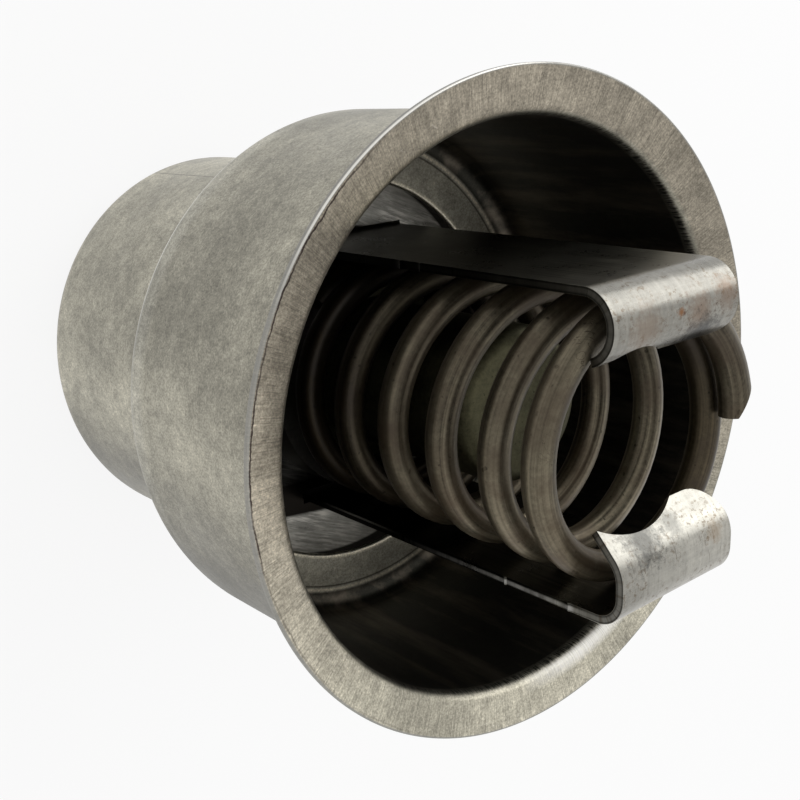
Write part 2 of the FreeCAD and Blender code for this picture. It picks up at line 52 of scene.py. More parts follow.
def add(tree, kind, feeds=None, **settings):
    """One node; feeds gives each input a value or a socket to be joined to."""
    made = tree.nodes.new(kind)
    for key, value in settings.items():
        setattr(made, key, value)
    for key, value in (feeds or {}).items():
        if isinstance(value, bpy.types.NodeSocket):
            tree.links.new(value, made.inputs[key])
        else:
            made.inputs[key].default_value = value
    return made


def new_group(name, inputs, outputs):
    """An empty shader group; inputs and outputs are (socket name, socket type, value)."""
    tree = bpy.data.node_groups.new(name, "ShaderNodeTree")
    for label, kind, value in inputs:
        socket = tree.interface.new_socket(label, in_out="INPUT", socket_type=kind)
        if value is not None:
            socket.default_value = value
    for label, kind in outputs:
        tree.interface.new_socket(label, in_out="OUTPUT", socket_type=kind)
    return tree, tree.nodes.new("NodeGroupInput").outputs, tree.nodes.new("NodeGroupOutput").inputs


def arithmetic(tree, operation, first, second=0.0, clamp=False):
    return add(tree, "ShaderNodeMath", {0: first, 1: second}, operation=operation, use_clamp=clamp).outputs[0]


def product(tree, *factors):
    made = factors[0]
    for factor in factors[1:]:
        made = arithmetic(tree, "MULTIPLY", made, factor)
    return made


def spread(tree, value, low, high, to_low=0.0, to_high=1.0):
    """value carried from one range to another, kept inside it."""
    return add(tree, "ShaderNodeMapRange", {"Value": value, "From Min": low, "From Max": high,
                                            "To Min": to_low, "To Max": to_high}).outputs["Result"]


def ramp_mm(tree, place, low, high, to_low=0.0, to_high=1.0):
    """The same for a place in metres, with its stretch given in millimetres."""
    return spread(tree, place, low * mm, high * mm, to_low, to_high)


def blend(tree, share, first, second, mode="MIX"):
    """Two colours mixed; share 0 keeps the first. A plain colour is (red, green, blue)."""
    first, second = ((*colour, 1.0) if isinstance(colour, tuple) else colour for colour in (first, second))
    return add(tree, "ShaderNodeMix", {"Factor": share, "A": first, "B": second}, data_type="RGBA",
               blend_type=mode).outputs["Result"]


def tinted(tree, share, colour, tint):
    """A colour multiplied by a tint; share 0 leaves it as it is."""
    return blend(tree, share, colour, tint, "MULTIPLY")


def grey(tree, value):
    return add(tree, "ShaderNodeCombineColor", {"Red": value, "Green": value, "Blue": value}).outputs[0]


def noise(tree, place, scale, detail=3.0, roughness=0.6, distortion=0.0):
    return add(tree, "ShaderNodeTexNoise", {"Vector": place, "Scale": scale, "Detail": detail,
                                            "Roughness": roughness, "Distortion": distortion}).outputs["Fac"]


def object_place(tree):
    return add(tree, "ShaderNodeTexCoord").outputs["Object"]


def parts_of(tree, vector):
    """The X, Y and Z of a vector."""
    return add(tree, "ShaderNodeSeparateXYZ", {"Vector": vector}).outputs


def scaled(tree, vector, scale):
    return add(tree, "ShaderNodeMapping", {"Vector": vector, "Scale": scale}).outputs[0]


FLOAT, VECTOR, COLOUR = "NodeSocketFloat", "NodeSocketVector", "NodeSocketColor"

# Surface wear: soft clouds, fine specks, drawn lines, dark pits and thin hair scratches.
wear, given, result = new_group("metal_wear", [
    ("Place", VECTOR, None), ("Line Place", VECTOR, None), ("Clouds", FLOAT, 0.3), ("Specks", FLOAT, 0.3),
    ("Lines", FLOAT, 0.2), ("Pits", FLOAT, 0.3), ("Hairs", FLOAT, 0.3), ("Cloud Size", FLOAT, 110.0),
    ("Speck Size", FLOAT, 2200.0)], [("Tone", FLOAT), ("Dullness", FLOAT), ("Height", FLOAT)])
NOISE_SWING = 3.0
clouds = noise(wear, given["Place"], given["Cloud Size"], 5.0, 0.62)
specks = noise(wear, given["Place"], given["Speck Size"], 3.0, 0.7)
lines = noise(wear, given["Line Place"], 1.0, 4.0, 0.6)
pits = spread(wear, noise(wear, given["Place"], 1300.0, 1.0), 0.70, 0.76)
off_middle = arithmetic(wear, "SUBTRACT", noise(wear, given["Place"], 170.0, 1.5, 0.5, 1.2), 0.5)
hair_line = spread(wear, arithmetic(wear, "ABSOLUTE", off_middle), 0.0035, 0.0)
hairs = product(wear, hair_line, spread(wear, noise(wear, given["Place"], 75.0, 1.0), 0.60, 0.66))
tone = 0.5
for source, share in ((clouds, "Clouds"), (specks, "Specks"), (lines, "Lines")):
    swing = product(wear, arithmetic(wear, "SUBTRACT", source, 0.5), NOISE_SWING, given[share])
    tone = arithmetic(wear, "ADD", tone, swing)
low_spots = arithmetic(wear, "ADD", product(wear, pits, given["Pits"]), product(wear, hairs, given["Hairs"]))
wear.links.new(arithmetic(wear, "SUBTRACT", tone, low_spots, clamp=True), result["Tone"])
dullness = arithmetic(wear, "ADD", product(wear, clouds, 0.6), product(wear, specks, 0.4))
wear.links.new(dullness, result["Dullness"])
height = arithmetic(wear, "ADD", product(wear, specks, given["Specks"]), product(wear, lines, given["Lines"]))
wear.links.new(arithmetic(wear, "SUBTRACT", height, low_spots), result["Height"])


def worn_finish(name, dark, light, rough, line_stretch=(1.0, 1.0, 1.0), bump=0.02, relief=0.6,
                metallic=1.0, place=object_place, lines_from=None, paint=None, **shares):
    """A worn finish: its two tones, its smooth and its dull roughness, and how its drawn lines run.

    paint gives back the painted colour and how bare the metal is; None leaves that as metallic says.
    """
    finish = bpy.data.materials.new(name)
    finish.use_nodes = True
    tree = finish.node_tree
    skin = tree.nodes["Principled BSDF"]
    skin.inputs["Metallic"].default_value = metallic
    where = place(tree)
    drawn = lines_from(tree) if lines_from else where
    feeds = {"Place": where, "Line Place": scaled(tree, drawn, line_stretch)}
    feeds.update({key.replace("_", " ").title(): value for key, value in shares.items()})
    worn = add(tree, "ShaderNodeGroup", feeds, node_tree=wear)
    colour = blend(tree, worn.outputs["Tone"], dark, light)
    if paint:
        colour, bare_share = paint(tree, where, colour)
        if bare_share is not None:
            tree.links.new(bare_share, skin.inputs["Metallic"])
    tree.links.new(colour, skin.inputs["Base Color"])
    tree.links.new(spread(tree, worn.outputs["Dullness"], 0.3, 0.7, *rough), skin.inputs["Roughness"])
    uneven = {"Height": worn.outputs["Height"], "Strength": relief, "Distance": bump * mm}
    tree.links.new(add(tree, "ShaderNodeBump", uneven).outputs["Normal"], skin.inputs["Normal"])
    return finish


def dress(node, finish):
    """Gives a node of the frame its finish."""
    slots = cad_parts[node].data.materials
    slots.clear()
    slots.append(finish)


disc_steel = worn_finish("disc_steel", (0.20, 0.19, 0.18), (0.42, 0.41, 0.39), (0.30, 0.48), (60, 60, 3000),
                         lines=0.3, pits=0.4)
dress("seat_disc", disc_steel)

# Strap frame. One strip of dark rolled steel bent to a deep U, its ends curled inward over the spring.
# Sheared edges with small burrs; rolling scratches run along it; both tips are bitten out in an arc.
STRAP_GAUGE, STRAP_WIDTH = 0.95, 18.5
FRAME_X, FRAME_Y = 0.4, 1.4
ARM_FACE, WEB_Z, WEB_BEND = 17.15, 3.0, 2.55
HOOK_A = {"z": 91.5, "crown": 6.7, "turn": 70.0, "leg": 2.9, "first": 3.9, "second": 3.9}
HOOK_B = {"z": 93.0, "crown": 6.53, "turn": 44.0, "leg": 5.25, "first": 3.5, "second": 4.2}
BITE_A = {"radius": 5.8, "depth": 2.3, "x": -4.5, "corner": 3.4}
BITE_B = {"radius": 10.0, "depth": 2.1, "x": -3.4, "corner": 4.4}
# hook b was bent a little out of square, so its far side lies lower
SKEW_B, SKEW_FROM, SKEW_FULL = 1.0, 82.0, 90.0


def hook_runs(hook):
    """Straight end leg and straight crown of a hook's outer face."""
    half_turn = math.tan(math.radians(hook["turn"]) / 2) * hook["second"]
    return (hook["leg"] - half_turn, hook["crown"] - half_turn - hook["first"])


def bent_back(outward, angle):
    """The outward direction once the strip has bent by angle."""
    return np.array([math.cos(angle) * outward[0] + math.sin(angle) * outward[1],
                     -math.sin(angle) * outward[0] + math.cos(angle) * outward[1]])


leg_a, crown_a = hook_runs(HOOK_A)
leg_b, crown_b = hook_runs(HOOK_B)
# straight length, then the bend after it: its angle and outer radius
strap_runs = [(leg_a, HOOK_A["turn"], HOOK_A["second"]), (crown_a, 90.0, HOOK_A["first"]),
              (HOOK_A["z"] - WEB_Z - HOOK_A["first"] - WEB_BEND, 90.0, WEB_BEND),
              (2 * ARM_FACE - 2 * WEB_BEND, 90.0, WEB_BEND),
              (HOOK_B["z"] - WEB_Z - HOOK_B["first"] - WEB_BEND, 90.0, HOOK_B["first"]),
              (crown_b, HOOK_B["turn"], HOOK_B["second"]), (leg_b, 0.0, 1.0)]
# The outer face in side view, walked from tip to tip: place, outward direction and length walked.
turn_a = math.radians(HOOK_A["turn"])
here = np.array([ARM_FACE - HOOK_A["crown"] - HOOK_A["leg"] * math.cos(turn_a),
                 HOOK_A["z"] - HOOK_A["leg"] * math.sin(turn_a)])
heading = turn_a
strap_length = 0.0
side_view = []
for straight, turn, radius in strap_runs:
    way = np.array([math.cos(heading), math.sin(heading)])
    outward = np.array([-way[1], way[0]])
    steps = max(2, int(straight))
    for step in range(steps):
        gone = straight * step / steps
        side_view.append((here + way * gone, outward, strap_length + gone))
    here = here + way * straight
    strap_length += straight
    if turn:
        whole_bend = math.radians(turn)
        centre = here - outward * radius
        steps = max(8, int(turn / 4))
        for step in range(steps):
            bent = whole_bend * step / steps
            out = bent_back(outward, bent)
            side_view.append((centre + out * radius, out, strap_length + radius * bent))
        here = centre + bent_back(outward, whole_bend) * radius
        heading -= whole_bend
        strap_length += radius * whole_bend
side_view.append((here, outward, strap_length))
lengths = np.array([stop[2] for stop in side_view])
faces_at = np.array([stop[0] for stop in side_view])
outs_at = np.array([stop[1] for stop in side_view])


def along_strap(length):
    """Place on the outer face and outward direction at one length from tip a."""
    place = [np.interp(length, lengths, faces_at[:, axis]) for axis in (0, 1)]
    out = np.array([np.interp(length, lengths, outs_at[:, axis]) for axis in (0, 1)])
    return np.array(place), out / np.linalg.norm(out)


def tip_depth(x, bite, leg, bend):
    """How far the tip is cut back at x, along the strip."""
    across = bite["radius"] ** 2 - (x - bite["x"]) ** 2
    depth = max(0.0, math.sqrt(max(across, 0.0)) - (bite["radius"] - bite["depth"]))
    past = x - (STRAP_WIDTH / 2 - bite["corner"])
    if past > 0:
        depth = max(depth, bite["corner"] - math.sqrt(max(bite["corner"] ** 2 - past ** 2, 0.0)))
    if depth <= leg:
        return depth
    return leg + bend * math.asin(min(1.0, (depth - leg) / bend))


END_ZONE, END_ROWS, COLUMNS, CORNER_COLUMNS = 8.0, 25, 61, 12
LEAST_COLUMN, LEAST_ROW = 0.012, 0.02
BURR_HALF, BURR_ROWS = 0.25, (-0.3, -0.12, 0.0, 0.12, 0.3)
# each burr stands out of the sheared edge: length from tip a and how far it stands out
burrs = [(38.0, 0.16), (34.6, 0.12), (strap_length - 27.0, 0.15), (strap_length - 17.5, 0.12)]
columns = sorted(set([round(v, 4) for v in np.linspace(-STRAP_WIDTH / 2, STRAP_WIDTH / 2, COLUMNS)]
                     + [round(STRAP_WIDTH / 2 - bite["corner"] * (1 - math.cos(a)), 4)
                        for bite in (BITE_A, BITE_B) for a in np.linspace(0, math.pi / 2, CORNER_COLUMNS)]))
columns = [x for i, x in enumerate(columns) if i == 0 or x - columns[i - 1] > LEAST_COLUMN]
end_rows = np.linspace(0, END_ZONE, END_ROWS)
rows = sorted(set(round(v, 4) for v in list(lengths) + list(end_rows) + list(strap_length - end_rows)
                  + [spot + d for spot, _ in burrs for d in BURR_ROWS]
                  if 0 <= v <= strap_length))
rows = [r for i, r in enumerate(rows) if i == 0 or r - rows[i - 1] > LEAST_ROW]
strap_points, strap_uv = [], []
for layer in (0.0, STRAP_GAUGE):
    for row in rows:
        for x in columns:
            start = tip_depth(x, BITE_A, leg_a, HOOK_A["second"])
            end = strap_length - tip_depth(x, BITE_B, leg_b, HOOK_B["second"])
            length = row
            if row < END_ZONE:
                length = start + row / END_ZONE * (END_ZONE - start)
            elif row > strap_length - END_ZONE:
                share = (strap_length - row) / END_ZONE
                length = end + share * (strap_length - END_ZONE - end)
            place, out = along_strap(length)
            place = place - out * layer
            if place[0] < 0:
                share = min(max((place[1] - SKEW_FROM) / (SKEW_FULL - SKEW_FROM), 0.0), 1.0)
                place[1] -= SKEW_B * share * (x / STRAP_WIDTH + 0.5)
            if x == columns[0]:
                for spot, reach in burrs:
                    x -= reach * max(0.0, 1 - abs(length - spot) / BURR_HALF)
            strap_points.append(Vector((x + FRAME_X, place[0] + FRAME_Y, place[1])) * mm)
            strap_uv.append((x * mm, length * mm))
wide, long = len(columns), len(rows)
layer_size = wide * long
strap_faces = []
for r in range(long - 1):
    for c in range(wide - 1):
        for a in (r * wide + c, r * wide + c + layer_size):
            strap_faces.append((a, a + 1, a + wide + 1, a + wide))
    for a in (r * wide, r * wide + wide - 1):
        strap_faces.append((a, a + wide, a + wide + layer_size, a + layer_size))
for c in range(wide - 1):
    for a in (c, (long - 1) * wide + c):
        strap_faces.append((a, a + 1, a + 1 + layer_size, a + layer_size))


def face_outward(piece, smooth_under=35.0):
    """Turns the faces of a closed piece outward and smooths all but its sharp edges."""
    bpy.context.view_layer.objects.active = piece
    piece.select_set(True)
    bpy.ops.object.mode_set(mode="EDIT")
    bpy.ops.mesh.select_all(action="SELECT")
    bpy.ops.mesh.normals_make_consistent(inside=False)
    bpy.ops.object.mode_set(mode="OBJECT")
    bpy.ops.object.shade_smooth_by_angle(angle=math.radians(smooth_under))
    piece.select_set(False)


def put_in_scene(name, data):
    """An object at the origin with this mesh, curve, lamp or camera."""
    made = bpy.data.objects.new(name, data)
    bpy.context.scene.collection.objects.link(made)
    return made


def made_piece(name, points, faces, finish, uv=None):
    """A closed mesh piece at the origin; uv gives each point its place on the flat sheet."""
    mesh = bpy.data.meshes.new(name)
    mesh.from_pydata([tuple(p) for p in points], [], faces)
    mesh.validate()
    if uv:
        layer = mesh.uv_layers.new(name="flat")
        for loop in mesh.loops:
            layer.data[loop.index].uv = uv[loop.vertex_index]
    mesh.materials.append(finish)
    piece = put_in_scene(name, mesh)
    face_outward(piece)
    return piece


def strap_flat(tree):
    """The strip laid flat: x across it, y along it."""
    return add(tree, "ShaderNodeUVMap", uv_map="flat").outputs["UV"]


crown_start = leg_a + HOOK_A["second"] * turn_a
# stains on the hooks: across, along from tip a, reach, tint, strength
STAINS = [
    (3.3, crown_start - 0.2, 2.4, (0.20, 0.14, 0.10), 0.65),
    (-4.6, crown_start - 0.6, 2.8, (0.20, 0.15, 0.11), 0.55),
    (7.6, crown_start + 1.0, 2.2, (0.20, 0.14, 0.10), 0.6),
    (4.2, crown_start - 3.3, 3.4, (0.045, 0.045, 0.043), 0.9),
    (0.4, crown_start + 0.3, 0.55, (0.20, 0.095, 0.040), 0.9),
    (0.8, crown_start + 0.1, 0.3, (0.10, 0.05, 0.03), 0.9),
    (6.5, strap_length - 5.5, 1.6, (0.28, 0.21, 0.14), 0.5),
    (-4.4, strap_length - 3.0, 3.4, (0.07, 0.07, 0.066), 0.8),
    (0.6, strap_length - 2.6, 2.2, (0.12, 0.12, 0.11), 0.6)]


def hook_wear(tree, where, colour, flat, spot):
    """Fine cracks over the bends, satin mottle on the hooks, hook b painted brighter as a painted highlight,
    brown grit and the stains.
    """
    level, upward = spot["Z"], spot["Y"]
    on_hooks = ramp_mm(tree, level, 86.0, 89.5)
    cracks = spread(tree, noise(tree, scaled(tree, where, (3000, 330, 1)), 1.0, 2.0), 0.61, 0.68)
    from_tip_b = arithmetic(tree, "SUBTRACT", strap_length * mm, flat["Y"])
    over_bend = product(tree, ramp_mm(tree, from_tip_b, 2.5, 4.5), ramp_mm(tree, from_tip_b, 9.5, 7.5), 0.55)
    crack_share = arithmetic(tree, "MAXIMUM", ramp_mm(tree, upward, 0.0, 2.0, 0.0, 0.2), over_bend)
    worn = blend(tree, product(tree, cracks, on_hooks, crack_share), colour, (0.07, 0.06, 0.05))
    satin = spread(tree, noise(tree, scaled(tree, where, (60, 700, 1)), 1.0, 4.0, 0.7), 0.3, 0.7, 0.82, 1.15)
    worn = tinted(tree, on_hooks, worn, grey(tree, satin))
    # painted highlight: hook b brighter, rising across the strip
    painted_sheen = product(tree, ramp_mm(tree, level, 86.0, 88.0), ramp_mm(tree, upward, -2.0, -6.0))
    worn = tinted(tree, painted_sheen, worn, grey(tree, ramp_mm(tree, flat["X"], -9.0, 3.0, 1.15, 1.5)))
    grit = product(tree, spread(tree, noise(tree, where, 1700.0, 3.0, 0.7), 0.53, 0.61),
                   spread(tree, noise(tree, where, 260.0, 2.0), 0.43, 0.56), on_hooks, 0.65)
    worn = blend(tree, grit, worn, (0.11, 0.08, 0.05))
    rough_edge = spread(tree, noise(tree, where, 1100.0, 5.0, 0.8), 0.32, 0.68, 0.40, 1.6)
    for x, length, reach, tint, most in STAINS:
        middle = (x * mm, length * mm, 0.0)
        away = add(tree, "ShaderNodeVectorMath", {0: where, 1: middle}, operation="DISTANCE").outputs["Value"]
        share = ramp_mm(tree, product(tree, away, rough_edge), reach, 0.3 * reach, 0.0, most)
        worn = blend(tree, share, worn, tint)
    return worn


def strap_paint(tree, where, colour):
    """Painted shade down the arms, darker the deeper they run into the sleeve, and a darker inner face; its
    sheared edges dark and torn, with painted light on the lower arm's edge.
    """
    flat, spot = parts_of(tree, where), parts_of(tree, object_place(tree))
    level = spot["Z"]
    through = add(tree, "ShaderNodeAttribute", attribute_name="through").outputs["Fac"]
    # painted shade: the arms darker the deeper they run into the sleeve
    painted = tinted(tree, ramp_mm(tree, level, 89.5, 82.0), colour, (0.72, 0.72, 0.68))
    painted = tinted(tree, ramp_mm(tree, level, 81.5, 60.0), painted, (0.07, 0.07, 0.06))
    # the strip's inner face darker
    painted = tinted(tree, spread(tree, through, 0.90, 0.98), painted, (0.35, 0.34, 0.31))
    rolling = scaled(tree, where, (2600, 40, 1))
    streaks = spread(tree, noise(tree, rolling, 1.0, 3.0, 0.7), 0.35, 0.70, 0.5, 1.9)
    painted = tinted(tree, ramp_mm(tree, level, 88.0, 82.0), painted, grey(tree, streaks))
    painted = hook_wear(tree, where, painted, flat, spot)
    # on the lower arm the sheared edge has a thin burnish band at the back, painted bright as a glint, and a
    # stretch near the mouth painted lighter as painted light; both are made less metallic
    edge = product(tree, spread(tree, through, 0.03, 0.08), spread(tree, through, 0.97, 0.92))
    land = product(tree, spread(tree, through, 0.15, 0.30), spread(tree, through, 0.85, 0.65))
    torn = tinted(tree, 1.0, painted, grey(tree, spread(tree, land, 0.0, 1.0, 0.14, 0.50)))
    thin_band = product(tree, spread(tree, through, 0.60, 0.70), ramp_mm(tree, level, 58.0, 50.0),
                        ramp_mm(tree, level, 41.0, 47.0), 0.7)
    near_mouth = arithmetic(tree, "ADD", ramp_mm(tree, level, 57.0, 66.0, 0.0, 0.45),
                            ramp_mm(tree, level, 70.0, 78.0, 0.0, 0.35))
    patchy = spread(tree, noise(tree, where, 900.0, 3.0), 0.35, 0.55, 0.6, 1.0)
    bare = product(tree, near_mouth, spread(tree, through, 0.75, 0.55), spread(tree, through, 0.06, 0.18),
                   patchy)
    lit = product(tree, arithmetic(tree, "MAXIMUM", thin_band, bare), ramp_mm(tree, spot["Y"], -12.0, -12.5),
                  ramp_mm(tree, level, 88.5, 86.0))
    torn = blend(tree, lit, torn, (0.36, 0.35, 0.325))
    return blend(tree, edge, painted, torn), arithmetic(tree, "SUBTRACT", 1.0, product(tree, edge, lit, 0.85))


strap_steel = worn_finish("strap_steel", (0.12, 0.116, 0.104), (0.38, 0.368, 0.327), (0.24, 0.36),
                          (1500, 22, 1), bump=0.008, place=strap_flat, paint=strap_paint, lines=0.2,
                          clouds=0.22, specks=0.16, pits=0.1, hairs=0.4, cloud_size=160.0)
hook_strap = made_piece("hook_strap", strap_points, strap_faces, strap_steel, strap_uv)
# 0 on the outer face of the strip and 1 on its inner one
for number, at in enumerate(hook_strap.data.attributes.new("through", "FLOAT", "POINT").data):
    at.value = float(number >= layer_size)
rounding = hook_strap.modifiers.new("edge", "BEVEL")
rounding.width, rounding.segments = 0.09 * mm, 2
rounding.limit_method, rounding.angle_limit = "ANGLE", math.radians(50)
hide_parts("frame_strap")
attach(hook_strap, "frame")

# Rivets, piston socket and piston. Turned and headed steel that holds the strap to the disc;
# the ground piston stands in the socket and the wax element pushes itself off it.
fastener_steel = worn_finish("fastener_steel", (0.24, 0.23, 0.21), (0.48, 0.47, 0.44), (0.26, 0.42),
                             (300, 300, 300), lines=0.15)
ground_steel = worn_finish("ground_steel", (0.45, 0.44, 0.43), (0.66, 0.65, 0.63), (0.14, 0.26),
                           (60, 60, 4000), bump=0.005, lines=0.2, clouds=0.15, pits=0.1)
for node in ("rivet_upper", "rivet_lower", "piston_socket"):
    dress(node, fastener_steel)
dress("piston", ground_steel)

# Wax element. A brass guide turned to carry the copper-alloy cup, its seal, bush and cap.
# The cup in the middle of the spring has gone dull and greenish.
brass_guide = worn_finish("brass_guide", (0.32, 0.24, 0.11), (0.58, 0.46, 0.24), (0.24, 0.42), (80, 80, 3500),
                          lines=0.25)
dress("element_guide", brass_guide)
dress("guide_bush", brass_guide)


def turned_piece(name, outline, finish, segments, axis=(0.0, 0.0)):
    """A round piece spun from a closed outline of (radius, height) in mm; radius 0 closes at a pole."""
    points, faces, ring_of = [], [], []
    for radius, level in outline:
        if radius == 0:
            ring_of.append([len(points)] * segments)
            points.append(Vector((axis[0], axis[1], level)) * mm)
            continue
        ring_of.append(list(range(len(points), len(points) + segments)))
        for number in range(segments):
            angle = 2 * math.pi * number / segments
            across, upward = radius * math.cos(angle), radius * math.sin(angle)
            points.append(Vector((axis[0] + across, axis[1] + upward, level)) * mm)
    for first, second in zip(ring_of, ring_of[1:] + ring_of[:1]):
        for number in range(segments):
            ahead = (number + 1) % segments
            loop = []
            for point in (first[number], first[ahead], second[ahead], second[number]):
                if point not in loop:
                    loop.append(point)
            if len(loop) > 2:
                faces.append(loop)
    return made_piece(name, points, faces, finish)


def rounded(corners):
    """A closed outline with rounded corners; each corner is (radius, height, rounding)."""
    line = []
    for number, (x, y, r) in enumerate(corners):
        spot = np.array([x, y])
        if r <= 0:
            line.append((x, y))
            continue
        back = np.array(corners[number - 1][:2]) - spot
        ahead = np.array(corners[(number + 1) % len(corners)][:2]) - spot
        back = back / np.linalg.norm(back)
        ahead = ahead / np.linalg.norm(ahead)
        half = math.acos(max(-1.0, min(1.0, float(back @ ahead)))) / 2
        centre = spot + (back + ahead) / np.linalg.norm(back + ahead) * r / math.sin(half)
        start = spot + back * r / math.tan(half) - centre
        end = spot + ahead * r / math.tan(half) - centre
        swing = math.atan2(start[0] * end[1] - start[1] * end[0], float(start @ end))
        steps = max(4, int(abs(math.degrees(swing)) / 7))
        for step in range(steps + 1):
            turn = swing * step / steps
            line.append((centre[0] + math.cos(turn) * start[0] - math.sin(turn) * start[1],
                         centre[1] + math.sin(turn) * start[0] + math.cos(turn) * start[1]))
    return line


def with_stops(outline, longest):
    """The same outline with its long straight stretches divided."""
    line = []
    for (x0, y0), (x1, y1) in zip(outline, outline[1:] + outline[:1]):
        parts = max(1, int(math.hypot(x1 - x0, y1 - y0) / longest)) if x0 and x1 else 1
        for part in range(parts):
            line.append((x0 + (x1 - x0) * part / parts, y0 + (y1 - y0) * part / parts))
    return line


CUP_RADIUS, CUP_TOP, CUP_GAUGE, SHOULDER_Z = 9.2, 70.0, 0.9, 42.4
CRIMP_RADIUS, CRIMP_INNER, CRIMP_FOOT = 12.02, 11.22, 37.55
cup_bronze = worn_finish("cup_bronze", (0.035, 0.034, 0.020), (0.125, 0.118, 0.070), (0.42, 0.60),
                         (90, 90, 1500), clouds=0.5, specks=0.45, lines=0.2, pits=0.6, cloud_size=260.0)
cup_outline = rounded([
    (0, CUP_TOP, 0), (CUP_RADIUS, CUP_TOP, 1.8), (CUP_RADIUS, SHOULDER_Z, 0.3),
    (CRIMP_RADIUS, SHOULDER_Z, 0.5), (CRIMP_RADIUS, CRIMP_FOOT, 0.3), (CRIMP_INNER, CRIMP_FOOT, 0),
    (CRIMP_INNER, SHOULDER_Z - CUP_GAUGE, 0),
    (CUP_RADIUS - CUP_GAUGE, SHOULDER_Z - CUP_GAUGE, 0), (CUP_RADIUS - CUP_GAUGE, CUP_TOP - CUP_GAUGE, 0.9),
    (0, CUP_TOP - CUP_GAUGE, 0)])
element_bulb = turned_piece("element_bulb", with_stops(cup_outline, 4.0), cup_bronze, 128, (FRAME_X, FRAME_Y))
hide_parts("element_cup")
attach(element_bulb, "sleeve")

# Inside the element. Wax, a rubber plug with its thin ring and the lip seal, none of them metal,
# and the steel cap and clip that shut it.
NOT_METAL = {"metallic": 0.0, "relief": 0.5}
wax_cake = worn_finish("wax_cake", (0.42, 0.26, 0.14), (0.60, 0.42, 0.26), (0.45, 0.65), **NOT_METAL)
black_rubber = worn_finish("black_rubber", (0.012, 0.012, 0.012), (0.035, 0.034, 0.033), (0.55, 0.75),
                           **NOT_METAL)
white_ring = worn_finish("white_ring", (0.70, 0.69, 0.66), (0.85, 0.84, 0.82), (0.35, 0.5), **NOT_METAL)
dress("wax_fill", wax_cake)
dress("rubber_plug", black_rubber)
dress("piston_seal", black_rubber)
dress("plug_washer", white_ring)
dress("seal_cap", fastener_steel)
dress("element_clip", fastener_steel)

# Carrier plate. A brushed steel disc pressed into the neck; it carries the element, passes the arms
# through two slots and the coolant through two windows. The brushing runs straight across it.
BRUSH_TURN = math.radians(23)
# painted shadow lies all round outside this circle, whose middle is off the sleeve's axis, so it forms a
# crescent at the rim
SHADOW_MIDDLE, SHADOW_RADIUS = (-2.65 * mm, 1.17 * mm, 36.5 * mm), 25.55


def brush_way(tree):
    """The plate's own directions: the first along its brushing."""
    turned = {"Vector": object_place(tree), "Rotation": (0.0, 0.0, BRUSH_TURN)}
    return add(tree, "ShaderNodeMapping", turned).outputs[0]


def sleeve_spot(tree, where):
    """Where a point lies on the sleeve: reach from its axis, level, way round it, and the X and Y of it."""
    spot = parts_of(tree, where)
    flat = add(tree, "ShaderNodeCombineXYZ", {"X": spot["X"], "Y": spot["Y"]}).outputs[0]
    reach = add(tree, "ShaderNodeVectorMath", {0: flat}, operation="LENGTH").outputs["Value"]
    around = add(tree, "ShaderNodeVectorMath", {0: flat}, operation="NORMALIZE").outputs["Vector"]
    return SimpleNamespace(reach=reach, level=spot["Z"], around=around, across=spot["X"], upward=spot["Y"])


def past_line(tree, at, slope):
    """How far a point lies upward of a line through the axis that falls by slope across the plate."""
    return arithmetic(tree, "ADD", at.upward, arithmetic(tree, "MULTIPLY", at.across, slope))


def plate_soil(tree, where, colour):
    """Scratched bright in patches; darker toward the rim; painted shadow in a crescent round the rim, and
    painted shade round the arms and behind the coils.
    """
    at = sleeve_spot(tree, where)
    scratches = noise(tree, scaled(tree, brush_way(tree), (240, 2400, 240)), 1.0, 3.0, 0.65)
    strokes = product(tree, spread(tree, scratches, 0.47, 0.60),
                      spread(tree, noise(tree, where, 150.0, 2.0), 0.36, 0.52), 0.85)
    soiled = blend(tree, strokes, colour, (0.74, 0.71, 0.65))
    # darker toward the rim
    soiled = blend(tree, ramp_mm(tree, at.reach, 20.5, 26.2, 0.0, 0.45), soiled, (0.07, 0.06, 0.05))
    # painted shadow: a dark crescent round the rim, outside an off-axis circle
    from_middle = add(tree, "ShaderNodeVectorMath", {0: where, 1: SHADOW_MIDDLE}, operation="DISTANCE")
    rim = ramp_mm(tree, from_middle.outputs["Value"], SHADOW_RADIUS - 0.3, SHADOW_RADIUS, 0.0, 0.96)
    from_level = arithmetic(tree, "ABSOLUTE", at.upward)
    # painted shade behind the coils and beside the arms where they pass through the slots
    shade_behind_coils = product(tree, ramp_mm(tree, at.across, -7.0, -13.0, 0.0, 0.9),
                           ramp_mm(tree, from_level, 15.5, 12.5))
    shade_by_arm_a = product(tree, ramp_mm(tree, past_line(tree, at, 0.183), 19.9, 19.6),
                       ramp_mm(tree, at.upward, 14.0, 16.0), ramp_mm(tree, at.across, 11.2, 10.2))
    shade_by_arm_b = product(tree, ramp_mm(tree, past_line(tree, at, 0.10), -18.7, -18.3),
                       ramp_mm(tree, at.upward, -11.0, -13.0))
    for share in (rim, shade_behind_coils, shade_by_arm_a, shade_by_arm_b):
        soiled = blend(tree, share, soiled, (0.014, 0.012, 0.010))
    return soiled, None


plate_steel = worn_finish("plate_steel", (0.17, 0.165, 0.15), (0.50, 0.49, 0.44), (0.24, 0.40),
                          (70, 2600, 300), bump=0.010, paint=plate_soil, lines_from=brush_way,
                          lines=0.45, clouds=0.45, specks=0.15, pits=0.2)
dress("carrier_plate", plate_steel)

# Neck sleeve. The narrow drawn tube at the back, seamed to the bell, its end rounded in to close on the disc.
# Dull satin sheet with soft patches, a fine mottle, a few bright curled scuffs and a thin dark seam line.
NECK_RADIUS, SHEET, NECK_MOUTH, NECK_END, STEP_BACK = 27.1, 0.7, 21.5, 1.7, 37.5
SEAM_TURN = math.radians(107.3)

